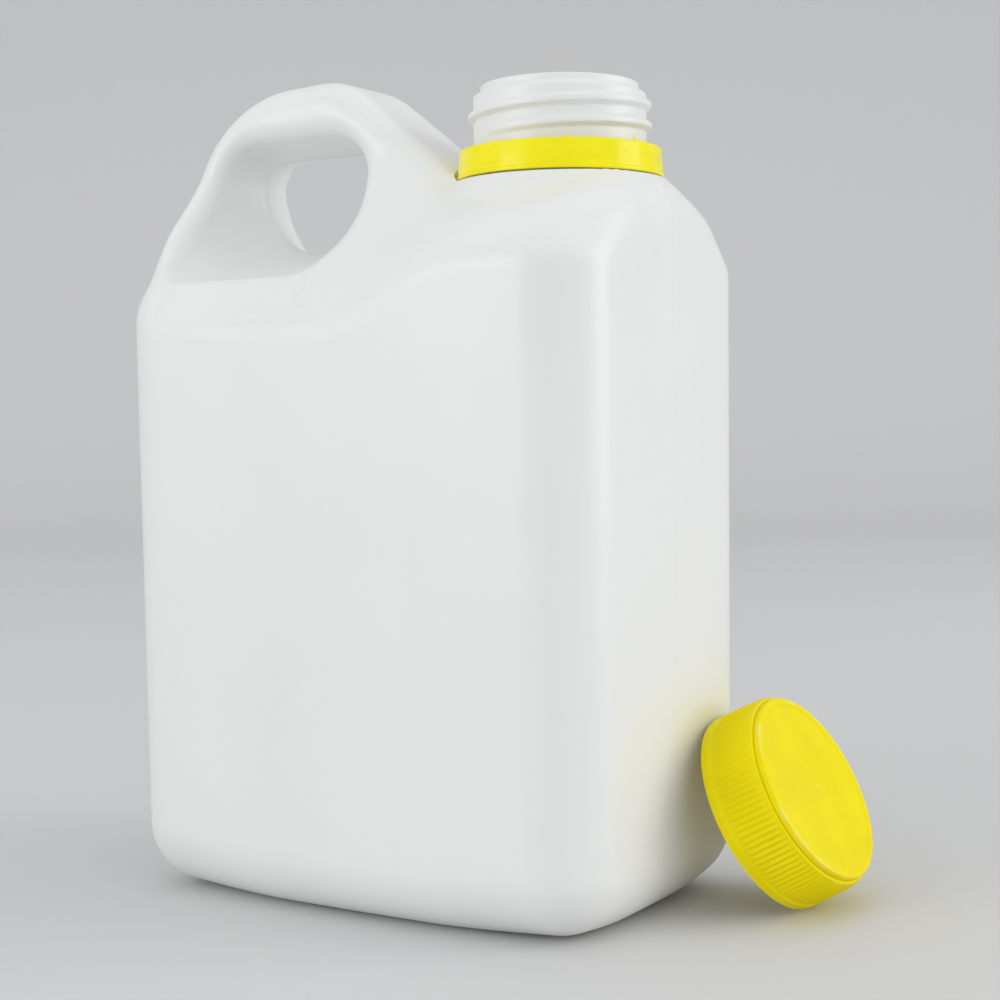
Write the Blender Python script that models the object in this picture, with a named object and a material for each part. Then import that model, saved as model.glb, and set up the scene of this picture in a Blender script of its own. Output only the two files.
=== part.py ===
# One litre handled jerrycan bottle in white HDPE, opened, with its yellow tamper ring
# still on the neck and its yellow screw cap leaning against the side.
# Metres, +Z up. Origin at the centre of the base; X runs along the wide face, with the
# neck at +X and the handle at -X; Y is the depth, and the mould parts on the XZ plane.

import math

import bmesh
import bpy
import numpy as np
from mathutils import Vector

# Body
BODY_WIDTH = 0.1136
BODY_DEPTH = 0.0745
BODY_TAPER = 0.0039
BODY_MIDDLE = 0.065
FACE_BOW = 0.0020
SIDE_BOW = 0.0007
SIDE_ROUNDING = 0.0130
SHOULDER_ROUNDING = 0.0085
HANDLE_ROUNDING = 0.0062
ROUNDING_TIGHTENS_FROM = 0.134
ROUNDING_TIGHTENS_OVER = 0.016
HANDLE_TIGHTENS_SOONER = 0.005
BASE_ROUNDING = 0.0118
BASE_LIFT = 0.0025
BASE_FLAT_SHARE = 0.25
WALL = 0.0011

# Shoulder: an S-shaped edge across the wide face, and the slope above it
SHOULDER_LOW = 0.1178
SHOULDER_HIGH = 0.1308
SHOULDER_RISE_FROM = -0.006
SHOULDER_RISE_RUN = 0.040
SHOULDER_LIFT_FROM = -0.010
SHOULDER_LIFT_RUN = 0.032
SHOULDER_LIFT = 0.0028
SLOPE_END_AT_HANDLE = 0.1565
SLOPE_END_AT_NECK = 0.157
SLOPE_EDGE_SHARE = 0.25
SHOULDER_TOP = 0.1505
SHOULDER_TOP_ROUNDING = 0.013

# Handle
HANDLE_TOP = 0.1742
HANDLE_LEFT = -0.0579
HANDLE_RIGHT = -0.0149
HANDLE_HALF_DEPTH = 0.0130
HANDLE_LEFT_DROP = 0.0018
HANDLE_LEFT_ROUNDING = 0.0292
HANDLE_RIGHT_ROUNDING = 0.017
HANDLE_FALL = 0.80
HANDLE_FOOT_ROUNDING = 0.006

# Finger hole: measured at the parting plane, and how far each side opens out towards
# the faces, for each unit of depth
HOLE_LEFT = -0.0451
HOLE_RIGHT = -0.0115
HOLE_TOP = 0.1590
HOLE_BOTTOM = 0.1382
HOLE_FLARE_LEFT = 0.28
HOLE_FLARE_RIGHT = 0.32
HOLE_FLARE_TOP = 0.30
HOLE_FLARE_BOTTOM = 0.24
HOLE_TOP_ROUNDING = 0.0052
HOLE_TOP_LOOSENING = 0.44
HOLE_BOTTOM_ROUNDING = 0.016
HOLE_BOTTOM_TIGHTENING = 0.10
HOLE_EDGE_ROUNDING = 0.0022

# Neck
NECK_X = 0.0324
NECK_SEAT = 0.1490
NECK_RADIUS = 0.0177
NECK_LIP_RADIUS = 0.0162
NECK_LIP_STEP = 0.1667
NECK_TOP = 0.1686
NECK_BORE_RADIUS = 0.0157
NECK_LIP_BORE_RADIUS = 0.0149
NECK_FOOT = 0.138
COLLAR_RADIUS = 0.0214
COLLAR_FOOT_RADIUS = 0.0226
COLLAR_FLARE = 0.0018
RING_CLEARANCE_RADIUS = 0.0222
RING_SEAT_DROP = 0.0002

# Thread
THREAD_RADIUS = 0.0188
THREAD_PITCH = 0.0042
THREAD_WIDTH = 0.0024
THREAD_CREST_SHARE = 0.45
THREAD_TURNS = 1.8
THREAD_START = 0.1583
THREAD_START_ANGLE = -2.1
THREAD_RUN_OUT = 0.30

# Tamper ring
RING_BOTTOM = 0.14935
RING_TOP = 0.15535
RING_RADIUS_BOTTOM = 0.0213
RING_RADIUS_TOP = 0.02075
RING_LIP = 0.0006
RING_WALL = 0.0017
RING_BEAD = 0.0008

# Cap, in its own frame: open rim at z = 0, closed end up
CAP_RADIUS = 0.0213
CAP_SKIRT_RADIUS = 0.0210
CAP_TAPER = 0.0005
CAP_HEIGHT = 0.0134
CAP_DISC_RADIUS = 0.0197
CAP_DISC_STEP = 0.0010
CAP_RIM_WIDTH = 0.0017
CAP_RECESS = 0.0003
CAP_BORE_RADIUS = 0.0191
CAP_TOP_THICKNESS = 0.0017
CAP_BAND = 0.0018
CAP_CHAMFER = 0.0007
SEAL_RADIUS = 0.0145
SEAL_WALL = 0.0009
SEAL_LENGTH = 0.0026
CAP_LEAN = math.radians(61.3)
CAP_Y = 0.0197
CAP_GAP = 0.0003

# Fineness
ARC_STEP = math.radians(4.0)
BLOCK_VOXEL = 0.0016
PRESS_ROUNDS = 5
FIELD_STEP = 0.00002
SKIN_TRIANGLES = 3900
CAVITY_TRIANGLES = 1900
TURN_STEPS = 48
THREAD_STEPS = 41

WHITE_HDPE = (0.78, 0.79, 0.78, 1.0)
YELLOW_RING = (0.84, 0.75, 0.0, 1.0)
YELLOW_CAP = (0.80, 0.71, 0.0, 1.0)


def clear_scene():
    """Remove every object of the open scene."""
    for item in list(bpy.data.objects):
        bpy.data.objects.remove(item, do_unlink=True)


def plastic(name, colour, roughness):
    """One plain plastic surface."""
    material = bpy.data.materials.new(name)
    material.use_nodes = True
    shader = material.node_tree.nodes["Principled BSDF"]
    shader.inputs["Base Color"].default_value = colour
    shader.inputs["Roughness"].default_value = roughness
    shader.inputs["Metallic"].default_value = 0.0
    return material


def new_object(name, bm):
    """Put a bmesh into the scene as a named object, with its faces pointing out."""
    bmesh.ops.recalc_face_normals(bm, faces=bm.faces)
    mesh = bpy.data.meshes.new(name)
    bm.to_mesh(mesh)
    bm.free()
    item = bpy.data.objects.new(name, mesh)
    bpy.context.collection.objects.link(item)
    return item


def as_cutter(item):
    """Keep a helper shape out of the finished model."""
    item.hide_render = True
    item.display_type = "WIRE"
    return item


def combine(item, tool, operation):
    """Add a Boolean that joins or cuts an object with a helper shape."""
    modifier = item.modifiers.new(tool.name, "BOOLEAN")
    modifier.operation = operation
    modifier.solver = "EXACT"
    modifier.object = as_cutter(tool)


def evaluated_mesh(item):
    """The object's mesh with its modifiers applied."""
    graph = bpy.context.evaluated_depsgraph_get()
    return bpy.data.meshes.new_from_object(item.evaluated_get(graph), depsgraph=graph)


# The side outline of the bottle, seen along Y


def rounded_outline(corners):
    """A closed outline from (x, z, radius) corners, each one turned by an arc."""
    points = []
    count = len(corners)
    for index, (x, z, radius) in enumerate(corners):
        corner = Vector((x, z))
        before = (Vector(corners[index - 1][:2]) - corner).normalized()
        after = (Vector(corners[(index + 1) % count][:2]) - corner).normalized()
        half = before.angle(after) / 2
        centre = corner + (before + after).normalized() * radius / math.sin(half)
        start = corner + before * radius / math.tan(half) - centre
        end = corner + after * radius / math.tan(half) - centre
        turn = math.atan2(start.x * end.y - start.y * end.x, start.dot(end))
        steps = max(2, math.ceil(abs(turn) / ARC_STEP))
        first = math.atan2(start.y, start.x)
        for step in range(steps + 1):
            angle = first + turn * step / steps
            points.append((centre.x + radius * math.cos(angle), centre.y + radius * math.sin(angle)))
    return np.array(points)


def side_corners():
    """The corners of body, handle and shoulder, anticlockwise from the base."""
    foot = BODY_WIDTH / 2 - BODY_TAPER * BODY_MIDDLE
    shoulder = BODY_WIDTH / 2 + BODY_TAPER * (SHOULDER_TOP - BODY_MIDDLE)
    handle_foot = HANDLE_RIGHT + (HANDLE_TOP - SHOULDER_TOP) / HANDLE_FALL
    return [
        (foot, 0.0, BASE_ROUNDING),
        (shoulder, SHOULDER_TOP, SHOULDER_TOP_ROUNDING),
        (handle_foot, SHOULDER_TOP, HANDLE_FOOT_ROUNDING),
        (HANDLE_RIGHT, HANDLE_TOP, HANDLE_RIGHT_ROUNDING),
        (HANDLE_LEFT, HANDLE_TOP - HANDLE_LEFT_DROP, HANDLE_LEFT_ROUNDING),
        (-foot, 0.0, BASE_ROUNDING),
    ]


def outline_distance(outline, x, z):
    """Signed distance from points to the outline, below zero inside."""
    nearest = np.full(x.shape, np.inf)
    inside = np.zeros(x.shape, bool)
    ends = np.roll(outline, -1, axis=0)
    for (ax, az), (bx, bz) in zip(outline, ends):
        dx = bx - ax
        dz = bz - az
        share = np.clip(((x - ax) * dx + (z - az) * dz) / (dx * dx + dz * dz), 0, 1)
        nearest = np.minimum(nearest, np.square(ax + share * dx - x) + np.square(az + share * dz - z))
        if az != bz:
            crosses = (az > z) != (bz > z)
            inside ^= crosses & (x < ax + (z - az) * dx / dz)
    return np.where(inside, -1.0, 1.0) * np.sqrt(nearest)


# The mould: a distance field for the bottle's outer skin, below zero inside


def ease(share):
    """A smooth step from 0 to 1."""
    share = np.clip(share, 0, 1)
    return share * share * (3 - 2 * share)


def rounded_and(first, second, radius):
    """The overlap of two fields, with the edge between them rounded."""
    a = first + radius
    b = second + radius
    return np.minimum(np.maximum(a, b), 0) + np.hypot(np.maximum(a, 0), np.maximum(b, 0)) - radius


def shoulder_edge(x):
    """Height of the S-shaped edge between the wide face and the slope."""
    rise = ease((x - SHOULDER_RISE_FROM) / SHOULDER_RISE_RUN)
    lift = np.square(np.maximum(SHOULDER_LIFT_FROM - x, 0) / SHOULDER_LIFT_RUN)
    return SHOULDER_LOW + (SHOULDER_HIGH - SHOULDER_LOW) * rise + SHOULDER_LIFT * lift


def half_depth(x, z):
    """Distance of the wide face, the slope and the handle's cheek from the parting plane."""
    bow = FACE_BOW * (1 - np.square(2 * x / BODY_WIDTH))
    face = BODY_DEPTH / 2 + BODY_TAPER * (z - BODY_MIDDLE) + bow
    start = shoulder_edge(x)
    towards_neck = ease((x - SHOULDER_RISE_FROM) / SHOULDER_RISE_RUN)
    end = SLOPE_END_AT_HANDLE + (SLOPE_END_AT_NECK - SLOPE_END_AT_HANDLE) * towards_neck
    share = np.clip((z - start) / (end - start), 0, 1)
    fall = (1 - SLOPE_EDGE_SHARE) * (1 - np.cos(math.pi * share)) / 2 + SLOPE_EDGE_SHARE * share
    return face + (HANDLE_HALF_DEPTH - face) * fall


def finger_hole(x, y, z):
    """Field of the hole under the grip, which opens out towards both faces."""
    depth = np.abs(y)
    left = HOLE_LEFT - HOLE_FLARE_LEFT * depth
    right = HOLE_RIGHT + HOLE_FLARE_RIGHT * depth
    top = HOLE_TOP + HOLE_FLARE_TOP * depth
    bottom = HOLE_BOTTOM - HOLE_FLARE_BOTTOM * depth
    upper = HOLE_TOP_ROUNDING + HOLE_TOP_LOOSENING * np.minimum(depth, HANDLE_HALF_DEPTH)
    lower = np.maximum(HOLE_BOTTOM_ROUNDING - HOLE_BOTTOM_TIGHTENING * depth, HOLE_TOP_ROUNDING)
    across = np.abs(x - (left + right) / 2) - (right - left) / 2
    return np.maximum(rounded_and(across, z - top, upper), rounded_and(across, bottom - z, lower))


def bottle_field(points, outline):
    """Distance to the bottle's outer skin without its neck."""
    x, y, z = points.T
    depth = half_depth(x, z)
    slope = (half_depth(x, z + FIELD_STEP) - depth) / FIELD_STEP
    cheek = (np.abs(y) - depth) / np.hypot(1, slope)
    corner = np.abs(x * y) * 4 / (BODY_WIDTH * BODY_DEPTH)
    lift = BASE_LIFT * ease((corner - BASE_FLAT_SHARE) / (1 - BASE_FLAT_SHARE))
    bow = SIDE_BOW * np.maximum(1 - np.square(2 * y / BODY_DEPTH), 0)
    side = outline_distance(outline, x - np.clip(x / SIDE_ROUNDING, -1, 1) * bow, z - lift)
    at_handle = 1 - ease((x - SHOULDER_RISE_FROM) / SHOULDER_RISE_RUN)
    tightens_from = ROUNDING_TIGHTENS_FROM - HANDLE_TIGHTENS_SOONER * at_handle
    tighter = ease((z - tightens_from) / ROUNDING_TIGHTENS_OVER)
    tightest = SHOULDER_ROUNDING + (HANDLE_ROUNDING - SHOULDER_ROUNDING) * at_handle
    rounding = SIDE_ROUNDING + (tightest - SIDE_ROUNDING) * tighter
    skin = rounded_and(side, cheek, rounding)
    return rounded_and(skin, -finger_hole(x, y, z), HOLE_EDGE_ROUNDING)


def press(points, outline, inset, rounds):
    """Move points onto the skin, or onto the surface that lies an inset inside it."""
    for _ in range(rounds):
        value = bottle_field(points, outline) + inset
        gradient = np.empty_like(points)
        for axis in range(3):
            shifted = points.copy()
            shifted[:, axis] += FIELD_STEP
            gradient[:, axis] = (bottle_field(shifted, outline) + inset - value) / FIELD_STEP
        size = np.maximum(np.square(gradient).sum(axis=1), 0.25)
        points = points - gradient * (value / size)[:, None]
    return points


def relax(points, edges):
    """Move each point halfway towards the mean of its neighbours."""
    total = np.zeros_like(points)
    count = np.bincount(edges.ravel(), minlength=len(points))
    for axis in range(3):
        near = np.bincount(edges[:, 0], points[edges[:, 1], axis], len(points))
        far = np.bincount(edges[:, 1], points[edges[:, 0], axis], len(points))
        total[:, axis] = near + far
    return (points + total / count[:, None]) / 2


# The rough block that the mould presses into shape


def prism(name, outline, half):
    """An outline in the XZ plane, extruded to both sides of the parting plane."""
    bm = bmesh.new()
    ring = [bm.verts.new((x, -half, z)) for x, z in outline]
    face = bm.faces.new(ring)
    extruded = bmesh.ops.extrude_face_region(bm, geom=[face])["geom"]
    moved = [part for part in extruded if isinstance(part, bmesh.types.BMVert)]
    bmesh.ops.translate(bm, verts=moved, vec=(0, 2 * half, 0))
    return new_object(name, bm)


def wedge(name, bottom, top, left, right, half_bottom, half_top):
    """A block whose faces lean towards the parting plane."""
    bm = bmesh.new()
    bmesh.ops.create_cube(bm, size=1.0)
    for vert in bm.verts:
        half = half_top if vert.co.z > 0 else half_bottom
        vert.co.x = right if vert.co.x > 0 else left
        vert.co.y = math.copysign(half, vert.co.y)
        vert.co.z = top if vert.co.z > 0 else bottom
    return new_object(name, bm)


def rough_block(name, outline, inset):
    """Body, shoulder and handle as joined blocks with the finger hole cut through."""
    edge = BODY_WIDTH / 2 - inset
    depth = BODY_DEPTH / 2 - inset
    cheek = HANDLE_HALF_DEPTH - inset
    hole = [
        (HOLE_RIGHT + 0.003 + inset, HOLE_BOTTOM - 0.002 - inset, HOLE_TOP_ROUNDING),
        (HOLE_RIGHT + 0.003 + inset, HOLE_TOP + 0.001 + inset, HOLE_TOP_ROUNDING),
        (HOLE_LEFT - 0.003 - inset, HOLE_TOP + 0.001 + inset, HOLE_TOP_ROUNDING),
        (HOLE_LEFT - 0.003 - inset, HOLE_BOTTOM - 0.002 - inset, HOLE_TOP_ROUNDING),
    ]
    trunk = wedge("rough trunk", inset, SHOULDER_LOW, -edge, edge, depth, depth)
    left = wedge("rough handle side", SHOULDER_LOW, 0.158, -edge, 0.0, depth, cheek)
    right = wedge("rough neck side", SHOULDER_LOW, NECK_SEAT - inset, -0.001, edge, depth, 0.020)
    grip = prism("rough grip", outline, cheek)
    gap = prism("rough gap", rounded_outline(hole), BODY_DEPTH)
    for tool in (left, right, grip):
        combine(trunk, tool, "UNION")
    combine(trunk, gap, "DIFFERENCE")
    block = bpy.data.objects.new(name, evaluated_mesh(trunk))
    bpy.context.collection.objects.link(block)
    for used in (trunk, left, right, grip, gap):
        bpy.data.objects.remove(used, do_unlink=True)
    return block


def moulded_skin(name, inset, triangles):
    """A closed skin pressed to the mould, an inset inside the outer surface."""
    outline = rounded_outline(side_corners())
    block = rough_block(name + " block", outline, inset)
    remesh = block.modifiers.new("Even quads", "REMESH")
    remesh.mode = "VOXEL"
    remesh.voxel_size = BLOCK_VOXEL
    mesh = evaluated_mesh(block)
    bpy.data.objects.remove(block, do_unlink=True)
    points = np.empty(len(mesh.vertices) * 3)
    mesh.vertices.foreach_get("co", points)
    edges = np.empty(len(mesh.edges) * 2, np.int32)
    mesh.edges.foreach_get("vertices", edges)
    points = points.reshape(-1, 3)
    edges = edges.reshape(-1, 2)
    for _ in range(PRESS_ROUNDS):
        points = press(relax(points, edges), outline, inset, 2)
    points = press(points, outline, inset, PRESS_ROUNDS)
    mesh.vertices.foreach_set("co", points.ravel())
    mesh.update()
    skin = bpy.data.objects.new(name, mesh)
    bpy.context.collection.objects.link(skin)
    thin = skin.modifiers.new("Fewer faces", "DECIMATE")
    thin.ratio = triangles / (2 * len(mesh.polygons))
    thin.use_collapse_triangulate = True
    return skin


# Turned pieces


def turned(name, profile, steps=TURN_STEPS, centre=(0.0, 0.0, 0.0)):
    """Spin an (r, z) profile round the Z axis; its ends lie on the axis or meet."""
    bm = bmesh.new()
    verts = [bm.verts.new((radius, 0, z)) for radius, z in profile]
    edges = [bm.edges.new(pair) for pair in zip(verts, verts[1:])]
    if profile[0][0] > 0:
        edges.append(bm.edges.new((verts[-1], verts[0])))
    bmesh.ops.spin(
        bm, geom=verts + edges, cent=(0, 0, 0), axis=(0, 0, 1), dvec=(0, 0, 0),
        angle=2 * math.pi, steps=steps, use_merge=True, use_duplicate=False,
    )
    bmesh.ops.remove_doubles(bm, verts=bm.verts, dist=0.000001)
    item = new_object(name, bm)
    item.location = centre
    return item


def ring_clearance(name, grow):
    """The round space above the shoulder that the tamper ring turns in."""
    radius = RING_CLEARANCE_RADIUS + grow
    floor = NECK_SEAT - RING_SEAT_DROP - grow
    profile = [(0, floor), (radius, floor), (radius, HANDLE_TOP), (0, HANDLE_TOP)]
    return turned(name, profile, centre=(NECK_X, 0, 0))


def thread():
    """The screw thread: a ridge that climbs the neck and fades out at both ends."""
    bm = bmesh.new()
    steps = int(THREAD_STEPS * THREAD_TURNS)
    root = NECK_RADIUS - WALL / 2
    buried = NECK_RADIUS - WALL / 4
    rings = []
    for step in range(steps + 1):
        turn = THREAD_TURNS * step / steps
        angle = THREAD_START_ANGLE + 2 * math.pi * turn
        fade = min(1.0, min(turn, THREAD_TURNS - turn) / THREAD_RUN_OUT)
        height = buried + (THREAD_RADIUS - buried) * math.sin(fade * math.pi / 2)
        middle = THREAD_START + THREAD_PITCH * turn
        section = [
            (root, -THREAD_WIDTH / 2),
            (height, -THREAD_WIDTH * THREAD_CREST_SHARE / 2),
            (height, THREAD_WIDTH * THREAD_CREST_SHARE / 2),
            (root, THREAD_WIDTH / 2),
        ]
        rings.append([
            bm.verts.new((radius * math.cos(angle), radius * math.sin(angle), middle + rise))
            for radius, rise in section
        ])
    for lower, upper in zip(rings, rings[1:]):
        for corner in range(4):
            after = (corner + 1) % 4
            bm.faces.new((lower[corner], lower[after], upper[after], upper[corner]))
    bm.faces.new(rings[0])
    bm.faces.new(rings[-1])
    item = new_object("thread ridge", bm)
    item.location = (NECK_X, 0, 0)
    return item


def neck():
    """The collar, the neck wall and the stepped lip, turned, with the thread round it."""
    flare = NECK_SEAT - COLLAR_FLARE
    round_edge = 0.0004
    profile = [
        (0, NECK_FOOT),
        (NECK_BORE_RADIUS + WALL, NECK_FOOT),
        (COLLAR_FOOT_RADIUS, flare - 2 * COLLAR_FLARE),
        (COLLAR_FOOT_RADIUS, flare),
        (COLLAR_RADIUS, NECK_SEAT),
        (NECK_RADIUS, NECK_SEAT),
        (NECK_RADIUS, NECK_LIP_STEP - round_edge),
        (NECK_LIP_RADIUS + round_edge, NECK_LIP_STEP + round_edge),
        (NECK_LIP_RADIUS, NECK_LIP_STEP + 2 * round_edge),
        (NECK_LIP_RADIUS, NECK_TOP - round_edge),
        (NECK_LIP_RADIUS - round_edge, NECK_TOP),
        (0, NECK_TOP),
    ]
    turning = turned("neck turning", profile, centre=(NECK_X, 0, 0))
    combine(turning, thread(), "UNION")
    return turning


def neck_bore():
    """The opening through the neck, with the lip turned in a little."""
    above = NECK_TOP + WALL
    profile = [
        (0, NECK_FOOT - WALL),
        (NECK_BORE_RADIUS, NECK_FOOT - WALL),
        (NECK_BORE_RADIUS, NECK_LIP_STEP - WALL),
        (NECK_LIP_BORE_RADIUS, NECK_LIP_STEP + WALL / 2),
        (NECK_LIP_BORE_RADIUS, above),
        (0, above),
    ]
    return turned("neck bore", profile, centre=(NECK_X, 0, 0))


def flatten_base(item):
    """Apply the face reduction and lay the base exactly on the floor."""
    mesh = evaluated_mesh(item)
    item.modifiers.clear()
    item.data = mesh
    for vert in mesh.vertices:
        if vert.co.z < CAP_GAP / 3:
            vert.co.z = 0.0
    return item


def make_bottle():
    """The hollow blow-moulded bottle with its open, threaded neck."""
    bottle = flatten_base(moulded_skin("bottle", 0.0, SKIN_TRIANGLES))
    cavity = moulded_skin("bottle cavity", WALL, CAVITY_TRIANGLES)
    combine(bottle, ring_clearance("ring clearance", 0.0), "DIFFERENCE")
    combine(cavity, ring_clearance("cavity clearance", WALL), "DIFFERENCE")
    combine(bottle, neck(), "UNION")
    combine(bottle, cavity, "DIFFERENCE")
    combine(bottle, neck_bore(), "DIFFERENCE")
    bottle.data.materials.clear()
    bottle.data.materials.append(plastic("white HDPE", WHITE_HDPE, 0.38))
    bottle.data.shade_smooth()
    return bottle


def make_ring():
    """The tamper ring left on the neck: flared, with a bead inside that holds it."""
    inner = RING_RADIUS_TOP - RING_WALL
    lip_top = RING_BOTTOM + RING_LIP
    profile = [
        (inner, RING_BOTTOM + 2 * RING_LIP),
        (inner + RING_BEAD, RING_BOTTOM),
        (RING_RADIUS_BOTTOM, RING_BOTTOM),
        (RING_RADIUS_BOTTOM, lip_top),
        (RING_RADIUS_TOP, RING_TOP - RING_LIP),
        (RING_RADIUS_TOP - RING_LIP, RING_TOP),
        (inner, RING_TOP),
        (inner, RING_TOP - RING_BEAD),
        (inner + RING_BEAD / 2, RING_BOTTOM + 4 * RING_LIP),
    ]
    ring = turned("tamper_ring", profile, centre=(NECK_X, 0, 0))
    ring.data.materials.append(plastic("yellow ring", YELLOW_RING, 0.30))
    ring.data.shade_smooth()
    ring.data.set_sharp_from_angle(angle=math.radians(35))
    return ring


def make_cap():
    """The screw cap, leaning with its open rim on the floor and on the bottle's side."""
    ceiling = CAP_HEIGHT - CAP_TOP_THICKNESS
    shoulder = CAP_HEIGHT - CAP_DISC_STEP
    profile = [
        (0, ceiling),
        (SEAL_RADIUS - SEAL_WALL, ceiling),
        (SEAL_RADIUS - SEAL_WALL, ceiling - SEAL_LENGTH),
        (SEAL_RADIUS, ceiling - SEAL_LENGTH),
        (SEAL_RADIUS, ceiling),
        (CAP_BORE_RADIUS, ceiling),
        (CAP_BORE_RADIUS, 0),
        (CAP_RADIUS, 0),
        (CAP_RADIUS, CAP_BAND),
        (CAP_SKIRT_RADIUS, CAP_BAND + CAP_CHAMFER),
        (CAP_SKIRT_RADIUS - CAP_TAPER, shoulder - CAP_CHAMFER),
        (CAP_SKIRT_RADIUS - CAP_TAPER - CAP_CHAMFER / 2, shoulder),
        (CAP_DISC_RADIUS, shoulder),
        (CAP_DISC_RADIUS, CAP_HEIGHT - CAP_RECESS),
        (CAP_DISC_RADIUS - CAP_RECESS, CAP_HEIGHT),
        (CAP_DISC_RADIUS - CAP_RIM_WIDTH, CAP_HEIGHT),
        (CAP_DISC_RADIUS - CAP_RIM_WIDTH - CAP_RECESS, CAP_HEIGHT - CAP_RECESS),
        (0, CAP_HEIGHT - CAP_RECESS),
    ]
    cap = turned("cap", profile)
    touch_height = 2 * CAP_RADIUS * math.sin(CAP_LEAN)
    wall = BODY_WIDTH / 2 + BODY_TAPER * (touch_height - BODY_MIDDLE) + SIDE_BOW
    reach = CAP_RADIUS * math.cos(CAP_LEAN)
    cap.rotation_euler = (0, CAP_LEAN, 0)
    cap.location = (wall + CAP_GAP + reach, CAP_Y, touch_height / 2)
    cap.data.materials.append(plastic("yellow cap", YELLOW_CAP, 0.42))
    cap.data.shade_smooth()
    cap.data.set_sharp_from_angle(angle=math.radians(35))
    return cap


def main():
    """Build the bottle, its tamper ring and its cap."""
    clear_scene()
    make_bottle()
    make_ring()
    make_cap()
    bpy.context.view_layer.update()


main()
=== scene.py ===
import math

import bmesh
import bpy
import numpy as np
from bpy.props import FloatProperty, FloatVectorProperty, IntProperty, PointerProperty
from mathutils import Matrix, Vector


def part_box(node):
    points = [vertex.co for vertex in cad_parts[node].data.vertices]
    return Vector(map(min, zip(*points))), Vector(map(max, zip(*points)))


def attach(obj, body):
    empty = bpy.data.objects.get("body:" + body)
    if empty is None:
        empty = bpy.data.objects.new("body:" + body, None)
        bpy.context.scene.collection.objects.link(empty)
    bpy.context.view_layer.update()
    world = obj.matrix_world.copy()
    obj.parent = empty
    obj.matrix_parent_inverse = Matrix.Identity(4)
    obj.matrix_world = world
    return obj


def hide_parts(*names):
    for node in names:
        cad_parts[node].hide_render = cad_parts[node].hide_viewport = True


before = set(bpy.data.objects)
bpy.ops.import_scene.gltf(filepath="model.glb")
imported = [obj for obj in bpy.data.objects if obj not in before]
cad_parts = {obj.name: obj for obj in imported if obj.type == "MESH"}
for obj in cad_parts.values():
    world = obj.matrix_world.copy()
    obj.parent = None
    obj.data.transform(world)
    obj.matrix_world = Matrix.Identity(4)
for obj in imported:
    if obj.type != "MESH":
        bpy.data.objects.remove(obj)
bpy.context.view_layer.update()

bl_info = {
    "name": "Handled bottle with a screw cap",
    "version": (1, 0, 0),
    "blender": (4, 5, 0),
    "location": "View3D > Sidebar > Bottle",
    "description": "Finished surfaces of a white handled bottle, its tamper ring and its cap",
    "category": "Object",
}

# Metres, +Z up. X runs along the wide face, with the neck at +X and the handle at -X.
# The mould parts on the XZ plane, and the base stands on z = 0.

RING_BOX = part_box("tamper_ring")
CAP_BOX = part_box("cap")

# Body
BODY_TAPER = 0.0039
BODY_MIDDLE = 0.065
FACE_BOW = 0.0020
SIDE_BOW = 0.0007
SHOULDER_ROUNDING = 0.0085
HANDLE_ROUNDING = 0.0062
ROUNDING_TIGHTENS_FROM = 0.134
ROUNDING_TIGHTENS_OVER = 0.016
HANDLE_TIGHTENS_SOONER = 0.005
BASE_LIFT = 0.0025
BASE_FLAT_SHARE = 0.25
BASE_FLATTENING = 0.0001

# Shoulder
SHOULDER_RISE_FROM = -0.006
SHOULDER_RISE_RUN = 0.040
SHOULDER_LIFT_FROM = -0.010
SHOULDER_LIFT_RUN = 0.032
SHOULDER_LIFT = 0.0028
SLOPE_END_AT_HANDLE = 0.1565
SLOPE_END_AT_NECK = 0.157
SLOPE_EDGE_SHARE = 0.25
SLOPE_EDGE_SOFTNESS = 0.0011
SHOULDER_TOP = 0.1505
SHOULDER_TOP_ROUNDING = 0.013
CROWN_RISE = 0.0004
CROWN_SLOPE = 0.9
CROWN_REACH = 0.0150
CROWN_ROUNDING = 0.0050

# Handle
HANDLE_LEFT = -0.0579
HANDLE_RIGHT = -0.0149
HANDLE_LEFT_DROP = 0.0018
HANDLE_LEFT_ROUNDING = 0.0292
HANDLE_RIGHT_ROUNDING = 0.017
HANDLE_FALL = 0.80
HANDLE_FOOT_ROUNDING = 0.006

# Finger hole
HOLE_FLARE_LEFT = 0.28
HOLE_FLARE_RIGHT = 0.32
HOLE_FLARE_TOP = 0.30
HOLE_FLARE_BOTTOM = 0.24
HOLE_TOP_ROUNDING = 0.0052
HOLE_TOP_LOOSENING = 0.44
HOLE_BOTTOM_ROUNDING = 0.016
HOLE_BOTTOM_TIGHTENING = 0.10
HOLE_LIP_ROUNDING = 0.0030
HOLE_LEDGE_ROUNDING = 0.0008
HOLE_LEDGE_TOP = 0.1335
HOLE_LEDGE_RUN = 0.006

# Sunk panel on the slope under the handle
PANEL_LEFT = -0.0452
PANEL_RIGHT = -0.0085
PANEL_LOW = 0.1222
PANEL_HIGH = 0.1298
PANEL_LEAN = 0.25
PANEL_EDGE = 0.0007

# Neck
NECK_LIP_STEP = 0.1667
NECK_LIP_RADIUS = 0.0162
NECK_BORE_RADIUS = 0.0157
NECK_LIP_BORE_RADIUS = 0.0149
NECK_FOOT = 0.138
COLLAR_RADIUS = 0.0214
COLLAR_FLARE = 0.60
COLLAR_WIDENING = 0.0012
COLLAR_LENGTH = 0.007
COLLAR_BLEND = 0.0045
RING_CLEARANCE_RADIUS = 0.0218
RING_SEAT_DROP = 0.00005
THREAD_WIDTH = 0.0026
THREAD_START = 0.1583
THREAD_START_ANGLE = -2.1
THREAD_RUN_OUT = 0.30

# Tamper ring
RING_LIP = 0.0007
RING_LIP_WIDTH = 0.0003
STUB_INSET = 0.0009
STUB_TURN = math.radians(-102)
STUB_SEED = 4

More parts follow.
